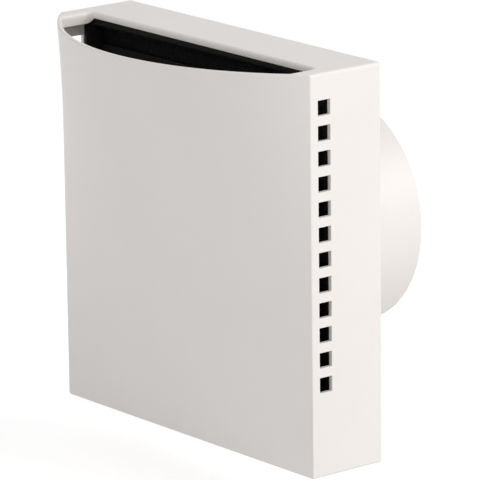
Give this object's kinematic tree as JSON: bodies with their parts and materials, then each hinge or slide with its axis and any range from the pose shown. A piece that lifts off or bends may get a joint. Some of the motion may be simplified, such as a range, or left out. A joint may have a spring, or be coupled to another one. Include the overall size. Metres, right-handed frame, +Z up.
{
  "type": "ventilation valve",
  "caption": "Square wall ventilation valve for a round duct: bowed clip-on cover with top outlet and side holes, filter, and disc valve set by a thumb wheel.",
  "frame": {"origin": "duct axis in the plane of the wall", "axes": "+Y into the wall along the duct, +X to the viewer's right, +Z up; the front looks along -Y"},
  "size_m": [0.166, 0.125, 0.17],
  "materials": {
    "white_plastic": "fine satin moulded ABS",
    "black_plastic": "satin moulded polypropylene",
    "black_foam": "open-cell polyurethane foam",
    "grey_foam": "closed-cell polyethylene foam",
    "seal_rubber": "soft matt rubber",
    "zinc_steel": "zinc plated",
    "grey_plastic": "satin moulded plastic"
  },
  "bodies": {
    "base": {"base_plate": "white_plastic", "duct_spigot": "white_plastic", "spindle_bridge": "white_plastic", "wall_gasket": "grey_foam", "filter_frame": "black_plastic", "filter_pad": "black_foam", "sound_lining": "black_foam", "spindle": "zinc_steel", "spindle_washer": "zinc_steel", "spindle_nut": "zinc_steel"},
    "cover": {"front_cover": "white_plastic"},
    "disc": {"valve_disc": "white_plastic", "disc_seal": "seal_rubber"},
    "wheel": {"adjusting_nut": "grey_plastic", "retaining_ring": "zinc_steel"}
  },
  "joints": [
    {"name": "cover_pull", "type": "slide", "parent": "base", "child": "cover", "axis": [0, -1, 0], "range_m": [0, 0.025]},
    {"name": "disc_slide", "type": "slide", "parent": "base", "child": "disc", "axis": [0, 1, 0], "range_m": [0, 0.0065]},
    {"name": "wheel_turn", "type": "hinge", "parent": "disc", "child": "wheel", "pos_m": [0, 0, 0], "axis": [0, 1, 0], "range_deg": [0, 1171]}
  ],
  "couplings": [
    {"joint": "wheel_turn", "follows": "disc_slide", "rad_per_m": 3141.6}
  ]
}
